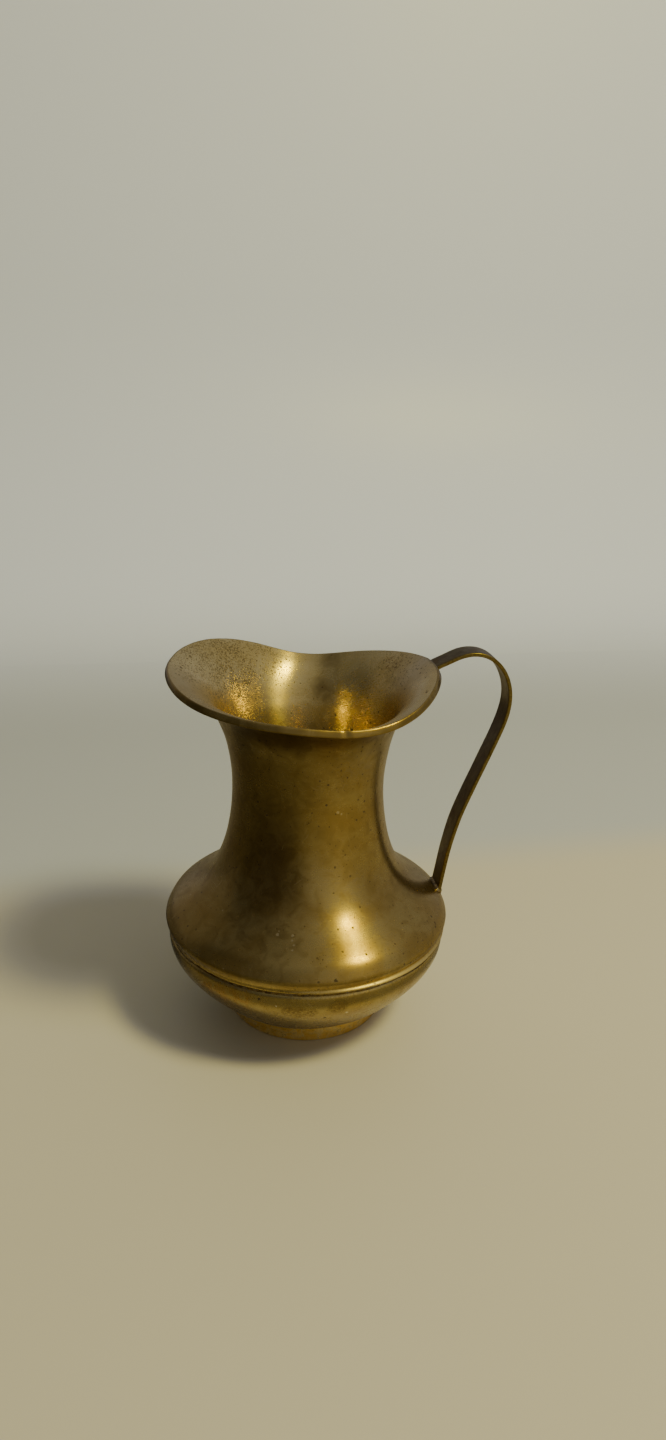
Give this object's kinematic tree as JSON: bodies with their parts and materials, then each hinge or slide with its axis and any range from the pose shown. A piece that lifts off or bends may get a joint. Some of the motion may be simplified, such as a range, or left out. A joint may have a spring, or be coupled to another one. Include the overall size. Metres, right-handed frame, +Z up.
{
  "type": "small brass jug",
  "caption": "Small spun-brass jug with a narrow neck, flared pouring lip, low soldered seam, foot ring and flat strap handle; holds pens or liquid.",
  "frame": {"origin": "on the body axis at the plane the foot ring rests on", "axes": "+Z up along the body axis; +X from the axis towards the handle, so the spout is on -X"},
  "size_m": [0.1123, 0.0938, 0.1238],
  "materials": {
    "brass_upper": "aged, hand-polished with dark tarnish specks",
    "brass_bowl": "aged, glossy with warm brown stains",
    "brass_foot": "aged, satin",
    "brass_strip": "aged, dull faces with bright rubbed edges",
    "solder": "dull brown brazing"
  },
  "bodies": {
    "root": {"upper_body": "brass_upper", "lower_bowl": "brass_bowl", "foot_ring": "brass_foot", "handle_strap": "brass_strip", "seam_solder": "solder", "foot_solder": "solder", "handle_upper_solder": "solder", "handle_lower_solder": "solder"}
  },
  "joints": []
}
